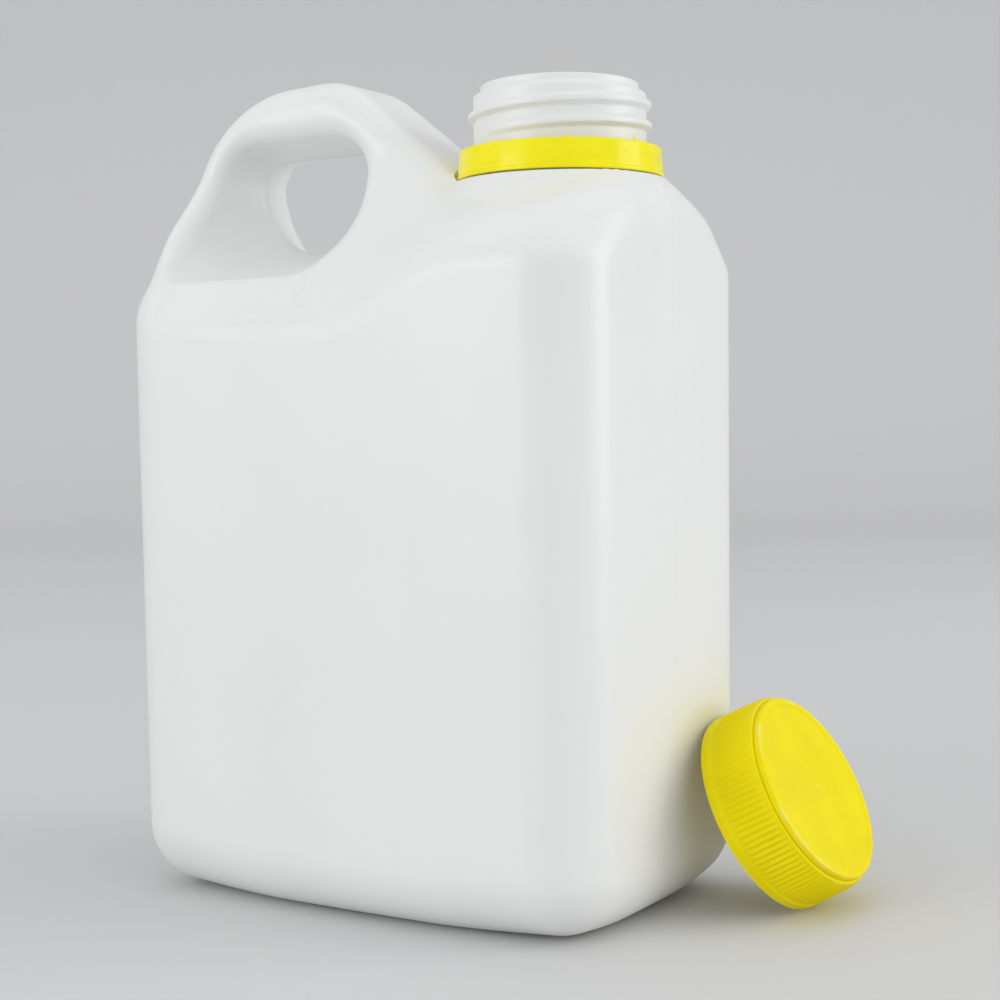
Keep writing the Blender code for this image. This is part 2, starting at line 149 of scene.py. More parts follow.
# Cap
CAP_CEILING_DROP = 0.0017
CAP_SHOULDER_DROP = 0.0013
CAP_TAPER = 0.0005
CAP_BAND = 0.0018
CAP_BAND_SLOPE = 0.0006
CAP_SEAL_RADIUS = 0.0145
CAP_SEAL_WALL = 0.0009
CAP_SEAL_LENGTH = 0.0026
CAP_LIP_WIDTH = 0.0014
CAP_FACE_DROP = 0.0003
CAP_THREAD_LOW = 0.0015
CAP_THREAD_DEPTH = 0.0007
CAP_CREASE = 62
RIB_LOW = 0.0026
RIB_HEADROOM = 0.0006
RIB_FADE = 0.0009

# Light that goes a little way into the yellow plastic
YELLOW_DEPTH = {"IOR": 1.5, "Subsurface Scale": 0.002, "Subsurface Radius": (1.0, 0.85, 0.1)}

# Stage
LIGHT_TARGET = (0.0, 0.0, 0.09)
LIGHTS = {
    "key": ((-0.62, -1.30, 0.42), 0.8, 0.6),
    "fill": ((1.05, 0.47, 0.36), 0.6, 0.8),
    "top": ((0.0, 0.15, 1.1), 1.0, 0.8),
}
SURROUND_COLOUR = (0.98, 0.985, 1.0, 1.0)
CAMERA_PLACE = (0.219, -0.325, 0.1015)
CAMERA_YAW = math.radians(31.9)
CAMERA_PITCH = math.radians(2.67)
CAMERA_ROLL = math.radians(-0.8)
CAMERA_LENS = 36.0 * 1.812

# Fineness
ARC_STEP = math.radians(2.0)
FIELD_STEP = 0.00002
NECK_SEGMENTS = 160
RING_SEGMENTS = 144
CAP_STEPS_A_RIB = 8
CAP_STEP = 0.0008
NECK_STEP = 0.0003


def distance(name, description, default, low=0.0, high=1.0):
    """A length property in metres."""
    return FloatProperty(
        name=name, description=description, default=default, min=low, max=high,
        precision=4, subtype="DISTANCE", unit="LENGTH",
    )


def colour(name, description, default):
    """A colour property."""
    return FloatVectorProperty(
        name=name, description=description, default=default, min=0.0, max=1.0,
        size=3, subtype="COLOR",
    )


def share(name, description, default, high=1.0):
    """A plain number from 0 upwards."""
    return FloatProperty(
        name=name, description=description, default=default, min=0.0, max=high, precision=3,
    )


class BottleSizes(bpy.types.PropertyGroup):
    """Sizes of the moulded bottle."""

    body_width: distance("Body width", "Width of the wide face at half height", 0.1136)
    body_depth: distance("Body depth", "Depth between the wide faces, without their bow", 0.0745)
    wall: distance("Wall", "Thickness of the plastic", 0.0011, 0.0006, 0.003)
    side_rounding: distance("Side rounding", "Radius of the upright corners", 0.0130)
    base_rounding: distance("Base rounding", "Radius of the base's edge", 0.0118)
    shoulder_low: distance("Shoulder, low end", "Height of the shoulder's edge at the handle", 0.1178)
    shoulder_high: distance("Shoulder, high end", "Height of the shoulder's edge at the neck", 0.1308)
    handle_top: distance("Handle top", "Height of the handle's top line", 0.17418)
    handle_half_depth: distance("Handle half depth", "Half the handle's thickness", 0.0130)
    hole_left: distance("Hole left", "Handle side of the finger hole", -0.0451, -1.0)
    hole_right: distance("Hole right", "Neck side of the finger hole", -0.0115, -1.0)
    hole_top: distance("Hole top", "Top of the finger hole", 0.1590)
    hole_bottom: distance("Hole bottom", "Bottom of the finger hole", 0.1382)
    panel_depth: distance("Panel depth", "Depth of the sunk panel", 0.0005, 0.0, 0.001)
    skin_step: distance("Skin step", "Edge length of the skin's faces", 0.0011, 0.0008, 0.01)


class NeckSizes(bpy.types.PropertyGroup):
    """Sizes of the threaded neck."""

    centre_x: distance("Centre", "Place of the neck's axis along the wide face", 0.0324, -1.0)
    seat: distance("Seat", "Height of the seat under the ring", 0.1490)
    radius: distance("Radius", "Outer radius of the neck's wall", 0.0177)
    top: distance("Top", "Height of the lip", 0.1686)
    thread_radius: distance("Thread radius", "Outer radius over the thread", 0.0188)
    thread_pitch: distance("Thread pitch", "Climb of the thread in one turn", 0.0042, 0.001, 0.01)
    thread_turns: share("Thread turns", "Number of turns of the thread", 1.8, 4.0)


class RingSizes(bpy.types.PropertyGroup):
    """Sizes of the tamper ring on the neck."""

    low: distance("Bottom", "Height of the ring's lower edge", RING_BOX[0].z)
    high: distance("Top", "Height of the ring's upper edge", RING_BOX[1].z)
    radius_low: distance("Lower radius", "Outer radius of the lower lip", 0.0213)
    radius_high: distance("Upper radius", "Outer radius at the top", 0.02075)
    wall: distance("Wall", "Thickness of the ring", 0.0017, 0.0008, 0.003)
    stub_count: IntProperty(
        name="Stubs", description="Broken bridges on the top edge", default=8, min=0, max=40)
    stub_size: distance("Stub size", "Height of a broken bridge", 0.0007, 0.0, 0.002)


class CapSizes(bpy.types.PropertyGroup):
    """Sizes of the screw cap."""

    radius: distance("Radius", "Outer radius of the band at the open rim", 0.0213)
    skirt_radius: distance("Skirt radius", "Radius of the skirt above the band", 0.0209)
    height: distance("Height", "Height of the cap", 0.0134)
    disc_radius: distance("Disc radius", "Radius of the raised top", 0.0197)
    bore_radius: distance("Bore radius", "Inner radius of the skirt", 0.0191)
    rib_count: IntProperty(
        name="Ribs", description="Gripping ribs round the skirt", default=104, min=12, max=200)
    rib_depth: distance("Rib depth", "How far a rib stands out", 0.0004, 0.0, 0.001)
    lean: FloatProperty(
        name="Lean", description="Turn from upright", default=math.radians(61.3), subtype="ANGLE")
    gap: distance("Gap", "Room between the cap's rim and the bottle", 0.0003, 0.0, 0.01)


class Finishes(bpy.types.PropertyGroup):
    """Colours and wear of the plastics."""

    white: colour("Bottle", "Colour of the bottle", (0.83, 0.84, 0.83))
    ring_yellow: colour("Ring", "Colour of the tamper ring", (0.96, 0.86, 0.0))
    cap_yellow: colour("Cap", "Colour of the cap", (0.91, 0.77, 0.0))
    worn_yellow: colour("Worn cap", "Colour of the cap's rubbed edge", (0.92, 0.84, 0.16))
    bottle_gloss: share("Bottle roughness", "Roughness of the bottle's surface", 0.36)
    wear: share("Wear", "Strength of scuffs and rubbed edges", 0.6)


class StageSettings(bpy.types.PropertyGroup):
    """Floor, light and camera."""

    floor: colour("Floor", "Colour of the floor and the backdrop", (0.66, 0.66, 0.66))
    key: share("Key light", "Power of the large light in front, in watts", 4.4, 1000.0)
    fill: share("Side light", "Power of the light at the right, in watts", 4.0, 1000.0)
    top: share("Top light", "Power of the light above, in watts", 0.3, 1000.0)
    surround: share("Surround", "Strength of the light from all round", 0.84, 10.0)


GROUPS = {
    "bottle_sizes": BottleSizes,
    "neck_sizes": NeckSizes,
    "ring_sizes": RingSizes,
    "cap_sizes": CapSizes,
    "bottle_finishes": Finishes,
    "bottle_stage": StageSettings,
}


# Meshes and objects


def put_in_scene(name, mesh):
    """A new object for a mesh, at the origin."""
    item = bpy.data.objects.new(name, mesh)
    bpy.context.scene.collection.objects.link(item)
    return item


def mesh_of(bm, name):
    """A mesh that takes over what was edited."""
    mesh = bpy.data.meshes.new(name)
    bm.to_mesh(mesh)
    bm.free()
    return mesh


def mesh_from(name, points, faces):
    """A mesh from points and faces, with its doubles merged and its faces outwards."""
    mesh = bpy.data.meshes.new(name)
    mesh.from_pydata([tuple(p) for p in points], [], faces)
    bm = bmesh.new()
    bm.from_mesh(mesh)
    bmesh.ops.remove_doubles(bm, verts=bm.verts, dist=0.000001)
    bmesh.ops.recalc_face_normals(bm, faces=bm.faces)
    bm.to_mesh(mesh)
    bm.free()
    return mesh


def apply_modifiers(item):
    """Make an object's modified shape its plain mesh."""
    graph = bpy.context.evaluated_depsgraph_get()
    mesh = bpy.data.meshes.new_from_object(item.evaluated_get(graph), depsgraph=graph)
    item.modifiers.clear()
    item.data = mesh
    return mesh


def lathe(name, profile, segments, centre=(0.0, 0.0, 0.0), swell=None):
    """Turn an (r, z) profile round an upright axis; swell adds to the radius over the surface."""
    rows = np.array(profile)
    angles = np.arange(segments) * 2 * math.pi / segments
    radius = np.repeat(rows[:, :1], segments, axis=1)
    height = np.repeat(rows[:, 1:], segments, axis=1)
    turn = np.repeat(angles[None, :], len(rows), axis=0)
    if swell is not None:
        radius = radius + swell(turn, radius, height)
    points = np.stack([radius * np.cos(turn), radius * np.sin(turn), height], axis=-1) + np.array(centre)
    closed = rows[0, 0] > 0
    last = len(rows) if closed else len(rows) - 1
    faces = []
    for row in range(last):
        upper = (row + 1) % len(rows)
        for column in range(segments):
            after = (column + 1) % segments
            corners = [row * segments + column, row * segments + after,
                       upper * segments + after, upper * segments + column]
            if rows[row, 0] == 0:
                corners = corners[1:]
            elif rows[upper, 0] == 0:
                corners = corners[:3]
            faces.append(corners)
    return put_in_scene(name, mesh_from(name, points.reshape(-1, 3), faces))


def fine_profile(profile, step, inner):
    """The profile with extra points on its lines outside an inner radius."""
    fine = [profile[0]]
    for (r0, z0), (r1, z1) in zip(profile, profile[1:]):
        wanted = min(r0, r1) >= inner
        count = max(1, math.ceil(math.hypot(r1 - r0, z1 - z0) / step)) if wanted else 1
        fine += [(r0 + (r1 - r0) * k / count, z0 + (z1 - z0) * k / count) for k in range(1, count + 1)]
    return fine


def rounded_profile(corners, steps=4):
    """An open (r, z) profile from (r, z, radius) corners, each rounded by an arc."""
    points = [corners[0][:2]]
    for before, corner, after in zip(corners, corners[1:], corners[2:]):
        here = Vector(corner[:2])
        back = Vector(before[:2]) - here
        ahead = Vector(after[:2]) - here
        radius = corner[2]
        if radius <= 0:
            points.append(tuple(here))
            continue
        half = back.angle(ahead) / 2
        reach = min(radius / math.tan(half), 0.49 * back.length, 0.49 * ahead.length)
        start = here + back.normalized() * reach
        end = here + ahead.normalized() * reach
        for k in range(steps + 1):
            t = k / steps
            point = start * (1 - t) ** 2 + here * 2 * t * (1 - t) + end * t ** 2
            points.append(tuple(point))
    points.append(corners[-1][:2])
    return points


def finish(item, material, node, crease=38):
    """Give a piece its finish and let it stand for a node of the frame."""
    item.data.materials.clear()
    item.data.materials.append(material)
    item.data.shade_smooth()
    item.data.set_sharp_from_angle(angle=math.radians(crease))
    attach(item, "root")
    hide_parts(node)


# The mould of the bottle


def ease(value):
    """A smooth step from 0 to 1."""
    value = np.clip(value, 0, 1)
    return value * value * (3 - 2 * value)


def towards_neck(x):
    """0 at the handle's side of the shoulder, 1 at the neck's side."""
    return ease((x - SHOULDER_RISE_FROM) / SHOULDER_RISE_RUN)


def rounded_and(first, second, radius):
    """The overlap of two fields, with the edge between them rounded."""
    a = first + radius
    b = second + radius
    return np.minimum(np.maximum(a, b), 0) + np.hypot(np.maximum(a, 0), np.maximum(b, 0)) - radius


def blended_or(first, second, reach):
    """Two fields joined, with the corner between them filled."""
    near = np.maximum(reach - np.abs(first - second), 0) / reach
    return np.minimum(first, second) - near * near * reach / 4


def rounded_outline(corners):
    """A closed outline from (x, z, radius) corners, each one turned by an arc."""
    points = []
    count = len(corners)
    for index, (x, z, radius) in enumerate(corners):
        corner = Vector((x, z))
        before = (Vector(corners[index - 1][:2]) - corner).normalized()
        after = (Vector(corners[(index + 1) % count][:2]) - corner).normalized()
        half = before.angle(after) / 2
        centre = corner + (before + after).normalized() * radius / math.sin(half)
        start = corner + before * radius / math.tan(half) - centre
        end = corner + after * radius / math.tan(half) - centre
        turn = math.atan2(start.x * end.y - start.y * end.x, start.dot(end))
        steps = max(2, math.ceil(abs(turn) / ARC_STEP))
        first = math.atan2(start.y, start.x)
        for step in range(steps + 1):
            angle = first + turn * step / steps
            points.append((centre.x + radius * math.cos(angle), centre.y + radius * math.sin(angle)))
    return np.array(points)


def outline_distance(outline, x, z):
    """Signed distance from points to the outline, below zero inside."""
    nearest = np.full(x.shape, np.inf)
    inside = np.zeros(x.shape, bool)
    ends = np.roll(outline, -1, axis=0)
    for (ax, az), (bx, bz) in zip(outline, ends):
        dx = bx - ax
        dz = bz - az
        along = np.clip(((x - ax) * dx + (z - az) * dz) / (dx * dx + dz * dz), 0, 1)
        nearest = np.minimum(nearest, np.square(ax + along * dx - x) + np.square(az + along * dz - z))
        if az != bz:
            crosses = (az > z) != (bz > z)
            inside ^= crosses & (x < ax + (z - az) * dx / dz)
    return np.where(inside, -1.0, 1.0) * np.sqrt(nearest)


class Mould:
    """The bottle's outer skin without its neck, as a distance field below zero inside."""

    def __init__(self, sizes, neck):
        self.sizes = sizes
        self.neck = neck
        self.outline = rounded_outline(self.side_corners())

    def side_corners(self):
        """The corners of body, handle and shoulder, anticlockwise from the base."""
        s = self.sizes
        foot = s.body_width / 2 - BODY_TAPER * BODY_MIDDLE
        shoulder = s.body_width / 2 + BODY_TAPER * (SHOULDER_TOP - BODY_MIDDLE)
        handle_foot = HANDLE_RIGHT + (s.handle_top - SHOULDER_TOP) / HANDLE_FALL
        return [
            (foot, 0.0, s.base_rounding),
            (shoulder, SHOULDER_TOP, SHOULDER_TOP_ROUNDING),
            (handle_foot, SHOULDER_TOP, HANDLE_FOOT_ROUNDING),
            (HANDLE_RIGHT, s.handle_top, HANDLE_RIGHT_ROUNDING),
            (HANDLE_LEFT, s.handle_top - HANDLE_LEFT_DROP, HANDLE_LEFT_ROUNDING),
            (-foot, 0.0, s.base_rounding),
        ]

    def shoulder_edge(self, x):
        """Height of the S-shaped edge between the wide face and the slope."""
        s = self.sizes
        lift = np.square(np.maximum(SHOULDER_LIFT_FROM - x, 0) / SHOULDER_LIFT_RUN)
        rise = (s.shoulder_high - s.shoulder_low) * towards_neck(x)
        return s.shoulder_low + rise + SHOULDER_LIFT * lift

    def half_depth(self, x, z):
        """Distance of the wide face, the slope and the handle's cheek from the parting plane."""
        s = self.sizes
        bow = FACE_BOW * (1 - np.square(2 * x / s.body_width))
        face = s.body_depth / 2 + BODY_TAPER * (z - BODY_MIDDLE) + bow
        start = self.shoulder_edge(x)
        end = SLOPE_END_AT_HANDLE + (SLOPE_END_AT_NECK - SLOPE_END_AT_HANDLE) * towards_neck(x)
        above = z - start
        above = (above + np.sqrt(np.square(above) + SLOPE_EDGE_SOFTNESS ** 2)) / 2
        run = np.clip(above / (end - start), 0, 1)
        fall = (1 - SLOPE_EDGE_SHARE) * (1 - np.cos(math.pi * run)) / 2 + SLOPE_EDGE_SHARE * run
        return face + (s.handle_half_depth - face) * fall

    def finger_hole(self, x, y, z):
        """Field of the hole under the grip, which opens out towards both faces."""
        s = self.sizes
        depth = np.abs(y)
        left = s.hole_left - HOLE_FLARE_LEFT * depth
        right = s.hole_right + HOLE_FLARE_RIGHT * depth
        top = s.hole_top + HOLE_FLARE_TOP * depth
        bottom = s.hole_bottom - HOLE_FLARE_BOTTOM * depth
        upper = HOLE_TOP_ROUNDING + HOLE_TOP_LOOSENING * np.minimum(depth, s.handle_half_depth)
        lower = np.maximum(HOLE_BOTTOM_ROUNDING - HOLE_BOTTOM_TIGHTENING * depth, HOLE_TOP_ROUNDING)
        across = np.abs(x - (left + right) / 2) - (right - left) / 2
        return np.maximum(rounded_and(across, z - top, upper), rounded_and(across, bottom - z, lower))

    def collar(self, x, y, z):
        """Field of the flared collar that carries the neck."""
        n = self.neck
        widening = np.clip(COLLAR_FLARE * (n.seat - z), 0, COLLAR_WIDENING)
        around = np.hypot(x - n.centre_x, y) - COLLAR_RADIUS - widening
        ends = np.abs(z - n.seat - self.sizes.wall + COLLAR_LENGTH / 2) - COLLAR_LENGTH / 2
        return np.maximum(around / math.hypot(1, COLLAR_FLARE), ends)

    def panel(self, x, y, z):
        """How far the sunk panel under the handle lies below the slope."""
        lean = PANEL_LEAN * (z - PANEL_LOW)
        across = np.maximum(PANEL_LEFT + lean - x, x - PANEL_RIGHT)
        along = np.maximum(PANEL_LOW - z, z - PANEL_HIGH)
        outside = np.maximum(across, along)
        return self.sizes.panel_depth * ease(0.5 - outside / PANEL_EDGE)

    def field(self, points, inset):
        """Distance to the skin, or to the surface that lies an inset inside it."""
        s = self.sizes
        x, y, z = points.T
        depth = self.half_depth(x, z)
        slope = (self.half_depth(x, z + FIELD_STEP) - depth) / FIELD_STEP
        cheek = (np.abs(y) - depth) / np.hypot(1, slope)
        corner = np.abs(x * y) * 4 / (s.body_width * s.body_depth)
        lift = BASE_LIFT * ease((corner - BASE_FLAT_SHARE) / (1 - BASE_FLAT_SHARE))
        bow = SIDE_BOW * np.maximum(1 - np.square(2 * y / s.body_depth), 0)
        side = outline_distance(self.outline, x - np.clip(x / s.side_rounding, -1, 1) * bow, z - lift)
        at_handle = 1 - towards_neck(x)
        tightens_from = ROUNDING_TIGHTENS_FROM - HANDLE_TIGHTENS_SOONER * at_handle
        tighter = ease((z - tightens_from) / ROUNDING_TIGHTENS_OVER)
        tightest = SHOULDER_ROUNDING + (HANDLE_ROUNDING - SHOULDER_ROUNDING) * at_handle
        rounding = s.side_rounding + (tightest - s.side_rounding) * tighter
        skin = rounded_and(side, cheek, rounding)
        rise = CROWN_SLOPE * np.maximum(self.neck.centre_x - CROWN_REACH - x, 0)
        skin = rounded_and(skin, z - self.neck.seat - CROWN_RISE - rise, CROWN_ROUNDING)
        skin = blended_or(skin, self.collar(x, y, z), COLLAR_BLEND)
        lip = HOLE_LEDGE_ROUNDING + (HOLE_LIP_ROUNDING - HOLE_LEDGE_ROUNDING) * ease(
            (z - HOLE_LEDGE_TOP) / HOLE_LEDGE_RUN)
        skin = rounded_and(skin, -self.finger_hole(x, y, z), lip)
        if inset == 0:
            skin = skin + self.panel(x, y, z)
        return skin + inset

    def press(self, points, inset, rounds):
        """Move points onto the surface."""
        for _ in range(rounds):
            value = self.field(points, inset)
            gradient = np.empty_like(points)
            for axis in range(3):
                shifted = points.copy()
                shifted[:, axis] += FIELD_STEP
                gradient[:, axis] = (self.field(shifted, inset) - value) / FIELD_STEP
            size = np.maximum(np.square(gradient).sum(axis=1), 0.25)
            points = points - gradient * (value / size)[:, None]
        return points


def relax(points, edges):
    """Move each point halfway towards the mean of its neighbours."""
    total = np.zeros_like(points)
    count = np.bincount(edges.ravel(), minlength=len(points))
    for axis in range(3):
        near = np.bincount(edges[:, 0], points[edges[:, 1], axis], len(points))
        far = np.bincount(edges[:, 1], points[edges[:, 0], axis], len(points))
        total[:, axis] = near + far
    return (points + total / count[:, None]) / 2


def wedge(name, low, high, left, right, half_low, half_high):
    """A block whose faces lean towards the parting plane."""
    bm = bmesh.new()
    bmesh.ops.create_cube(bm, size=1.0)
    for vert in bm.verts:
        half = half_high if vert.co.z > 0 else half_low
        vert.co.x = right if vert.co.x > 0 else left
        vert.co.y = math.copysign(half, vert.co.y)
        vert.co.z = high if vert.co.z > 0 else low
    return put_in_scene(name, mesh_of(bm, name))


def prism(name, outline, half):
    """An outline in the XZ plane, extruded to both sides of the parting plane."""
    bm = bmesh.new()
    face = bm.faces.new([bm.verts.new((x, -half, z)) for x, z in outline])
    extruded = bmesh.ops.extrude_face_region(bm, geom=[face])["geom"]
    moved = [part for part in extruded if isinstance(part, bmesh.types.BMVert)]
    bmesh.ops.translate(bm, verts=moved, vec=(0, 2 * half, 0))
    bmesh.ops.recalc_face_normals(bm, faces=bm.faces)
    return put_in_scene(name, mesh_of(bm, name))


def combine(item, tool, operation="DIFFERENCE", solver="MANIFOLD"):
    """Join or cut an object with a helper shape, which is used up."""
    modifier = item.modifiers.new(tool.name, "BOOLEAN")
    modifier.operation = operation
    modifier.solver = solver
    modifier.object = tool
    apply_modifiers(item)
    bpy.data.objects.remove(tool, do_unlink=True)


def rough_block(mould, inset):
    """Body, shoulder and handle as joined blocks with the finger hole cut through."""
    s = mould.sizes
    edge = s.body_width / 2 - inset
    depth = s.body_depth / 2 - inset
    cheek = s.handle_half_depth - inset
    spare = 0.003 + inset
    left, right = s.hole_left - spare, s.hole_right + spare
    low, high = s.hole_bottom - spare, s.hole_top + spare / 2
    corners = [(right, low), (right, high), (left, high), (left, low)]
    hole = rounded_outline([(x, z, HOLE_TOP_ROUNDING) for x, z in corners])
    block = wedge("rough trunk", inset, s.shoulder_low, -edge, edge, depth, depth)
    handle_side = wedge("rough handle side", s.shoulder_low, 0.158, -edge, 0.0, depth, cheek)
    seat = mould.neck.seat - inset
    neck_side = wedge("rough neck side", s.shoulder_low, seat, -0.001, edge, depth, 0.020)
    grip = prism("rough grip", mould.outline, cheek)
    gap = prism("rough gap", hole, s.body_depth)
    for tool in (handle_side, neck_side, grip):
        combine(block, tool, "UNION", "EXACT")
    combine(block, gap, "DIFFERENCE", "EXACT")
    return block


def set_points(mesh, points):
    """Move a mesh's points to new places."""
    mesh.vertices.foreach_set("co", points.ravel())
    mesh.update()


def mesh_arrays(mesh):
    """The points and edges of a mesh as arrays."""
    points = np.empty(len(mesh.vertices) * 3)
    mesh.vertices.foreach_get("co", points)
    edges = np.empty(len(mesh.edges) * 2, np.int32)
    mesh.edges.foreach_get("vertices", edges)
    return points.reshape(-1, 3), edges.reshape(-1, 2)


def moulded_skin(name, mould, inset, step, halvings):
    """A closed skin of even quads pressed to the mould."""
    skin = rough_block(mould, inset)
    skin.name = name
    remesh = skin.modifiers.new("Even quads", "REMESH")
    remesh.mode = "VOXEL"
    remesh.voxel_size = step
    mesh = apply_modifiers(skin)
    points, edges = mesh_arrays(mesh)
    for _ in range(6):
        points = mould.press(relax(points, edges), inset, 2)
    set_points(mesh, mould.press(points, inset, 4))
    for _ in range(halvings):
        finer = skin.modifiers.new("Finer", "SUBSURF")
        finer.levels = finer.render_levels = 1
        mesh = apply_modifiers(skin)
        points, edges = mesh_arrays(mesh)
        set_points(mesh, mould.press(relax(mould.press(points, inset, 2), edges), inset, 4))
    return skin


# The neck


def thread_height(sizes, angle, height, peak):
    """Height of the thread over a turned surface: a soft ridge that fades at both ends."""
    total = np.zeros_like(angle)
    first = np.mod(angle - THREAD_START_ANGLE, 2 * math.pi) / (2 * math.pi)
    for lap in range(math.ceil(sizes.thread_turns) + 1):
        turn = first + lap
        inside = np.clip(np.minimum(turn, sizes.thread_turns - turn) / THREAD_RUN_OUT, 0, 1)
        off = np.abs(height - THREAD_START - sizes.thread_pitch * turn) / (THREAD_WIDTH / 2)
        ridge = 1 - ease((off - 0.30) / 0.75)
        total = np.maximum(total, peak * ridge * np.sin(inside * math.pi / 2))
    return total


def solid_neck(sizes, neck):
    """The seat, the neck's wall with its thread and the stepped lip, as one turned solid."""
    corners = [
        (0.0, NECK_FOOT, 0),
        (NECK_BORE_RADIUS + sizes.wall, NECK_FOOT, 0),
        (COLLAR_RADIUS - 0.0003, neck.seat - 0.004, 0),
        (COLLAR_RADIUS - 0.0003, neck.seat, 0.0002),
        (neck.radius, neck.seat, 0.0005),
        (neck.radius, NECK_LIP_STEP - 0.0003, 0.0006),
        (NECK_LIP_RADIUS, NECK_LIP_STEP + 0.0005, 0.0005),
        (NECK_LIP_RADIUS, neck.top, 0.0004),
        (0.0, neck.top, 0),
    ]
    profile = fine_profile(rounded_profile(corners), NECK_STEP, neck.radius - 0.0001)

    def swell(angle, radius, height):
        outside = radius > neck.radius - 0.0003
        peak = neck.thread_radius - neck.radius
        return np.where(outside, thread_height(neck, angle, height, peak), 0.0)

    return lathe("neck", profile, NECK_SEGMENTS, (neck.centre_x, 0, 0), swell)


def neck_bore(sizes, neck):
    """The opening through the neck, with the lip turned in a little."""
    above = neck.top + sizes.wall
    corners = [
        (0.0, NECK_FOOT - sizes.wall, 0),
        (NECK_BORE_RADIUS, NECK_FOOT - sizes.wall, 0),
        (NECK_BORE_RADIUS, NECK_LIP_STEP - sizes.wall, 0.001),
        (NECK_LIP_BORE_RADIUS, NECK_LIP_STEP + sizes.wall / 2, 0.001),
        (NECK_LIP_BORE_RADIUS, neck.top - 0.0003, 0.0002),
        (NECK_LIP_BORE_RADIUS + 0.0013, above, 0),
        (0.0, above, 0),
    ]
    return lathe("neck bore", rounded_profile(corners), NECK_SEGMENTS - 8, (neck.centre_x, 0, 0))


def ring_clearance(name, sizes, neck, grow):
    """The round space above the shoulder that the tamper ring turns in."""
    radius = RING_CLEARANCE_RADIUS + grow
    low = neck.seat - RING_SEAT_DROP - grow
    profile = [(0.0, low), (radius, low), (radius, sizes.handle_top), (0.0, sizes.handle_top)]
    return lathe(name, profile, NECK_SEGMENTS + 8, (neck.centre_x, 0, 0))


# Node maths


def by_node(operation, swapped=False):
    """A method that does its sum with a Math node."""
    def method(self, other):
        return self.maths(operation, *((other, self) if swapped else (self, other)))
    return method


class Wire:
    """A node's output that takes part in Python expressions as Math nodes."""

    def __init__(self, net, socket):
        self.net = net
        self.socket = socket

    def maths(self, operation, first, second=None):
        inputs = {0: first} if second is None else {0: first, 1: second}
        return self.net.add("ShaderNodeMath", inputs, operation=operation)

    def __abs__(self):
        return self.maths("ABSOLUTE", self)

    __add__ = __radd__ = by_node("ADD")
    __sub__ = by_node("SUBTRACT")
    __rsub__ = by_node("SUBTRACT", True)
    __mul__ = __rmul__ = by_node("MULTIPLY")
    __truediv__ = by_node("DIVIDE")
    __rtruediv__ = by_node("DIVIDE", True)
    __pow__ = by_node("POWER")
    at_least = by_node("MAXIMUM")


class Net:
    """A node tree that is wired up by expressions."""

    def __init__(self, tree):
        self.tree = tree

    def node(self, kind, inputs=None, **settings):
        """A node of any kind: its settings, then the values or links of its sockets."""
        made = self.tree.nodes.new(kind)
        for key, value in settings.items():
            setattr(made, key, value)
        for key, value in (inputs or {}).items():
            if isinstance(value, Wire):
                self.tree.links.new(value.socket, made.inputs[key])
            else:
                made.inputs[key].default_value = value
        return made

    def add(self, kind, inputs=None, output=0, **settings):
        """The same, as a wire from one of the node's outputs."""
        return Wire(self, self.node(kind, inputs, **settings).outputs[output])

    def step(self, value, low, high):
        """A smooth step from 0 at one value to 1 at another."""
        inputs = {"Value": value, "From Min": low, "From Max": high, "To Min": 0.0, "To Max": 1.0}
        return self.add("ShaderNodeMapRange", inputs, interpolation_type="SMOOTHSTEP")

    def mix(self, factor, first, second):
        """A colour between two."""
        return self.add("ShaderNodeMix", {0: factor, 6: first, 7: second}, 2, data_type="RGBA")

    def varied(self, factor, base, spread):
        """A colour from a little darker to a little lighter than a base."""
        return self.mix(factor, tinted(base, 1 - spread), tinted(base, 1 + spread))

    def noise(self, where, scale, detail=2.0, roughness=0.5):
        """A soft noise of a given fineness."""
        return self.add("ShaderNodeTexNoise", {
            "Vector": where, "Scale": scale, "Detail": detail, "Roughness": roughness})

    def stretch(self, where, scale):
        """Coordinates stretched by a vector."""
        return self.add("ShaderNodeVectorMath", {0: where, 1: scale}, operation="MULTIPLY")

    def vector(self, x, y, z):
        """A vector of three numbers."""
        return self.add("ShaderNodeCombineXYZ", {"X": x, "Y": y, "Z": z})

    def random(self, seed, low, high):
        """A random vector for each point, between two vectors."""
        inputs = {0: low, 1: high, "Seed": seed}
        return self.add("FunctionNodeRandomValue", inputs, data_type="FLOAT_VECTOR")

    def axes(self, where):
        """The three numbers of a vector."""
        apart = self.node("ShaderNodeSeparateXYZ", {"Vector": where})
        return [Wire(self, apart.outputs[k]) for k in range(3)]


def new_material(name, constants):
    """A plastic with its shader's plain numbers set, and its net, shader and coordinates."""
    material = bpy.data.materials.new(name)
    material.use_nodes = True
    net = Net(material.node_tree)
    shader = net.tree.nodes["Principled BSDF"]
    for socket, value in {"Metallic": 0.0, **constants}.items():
        shader.inputs[socket].default_value = value
    return material, net, shader, net.add("ShaderNodeTexCoord", output="Object")


def tinted(rgb, factor):
    """A colour made lighter or darker, as four numbers."""
    return tuple(min(1.0, part * factor) for part in rgb) + (1.0,)


def connect(net, shader, **wires):
    """Feed the shader's sockets that change over a surface."""
    for socket, wire in wires.items():
        net.tree.links.new(wire.socket, shader.inputs[socket.replace("_", " ")])


def bumped(net, layers):
    """A normal from (height wire, depth in metres) layers, one on the other."""
    normal = None
    for height, depth in layers:
        inputs = {"Height": height, "Distance": depth, "Strength": 1.0}
        if normal is not None:
            inputs["Normal"] = normal
        normal = net.add("ShaderNodeBump", inputs)
    return normal


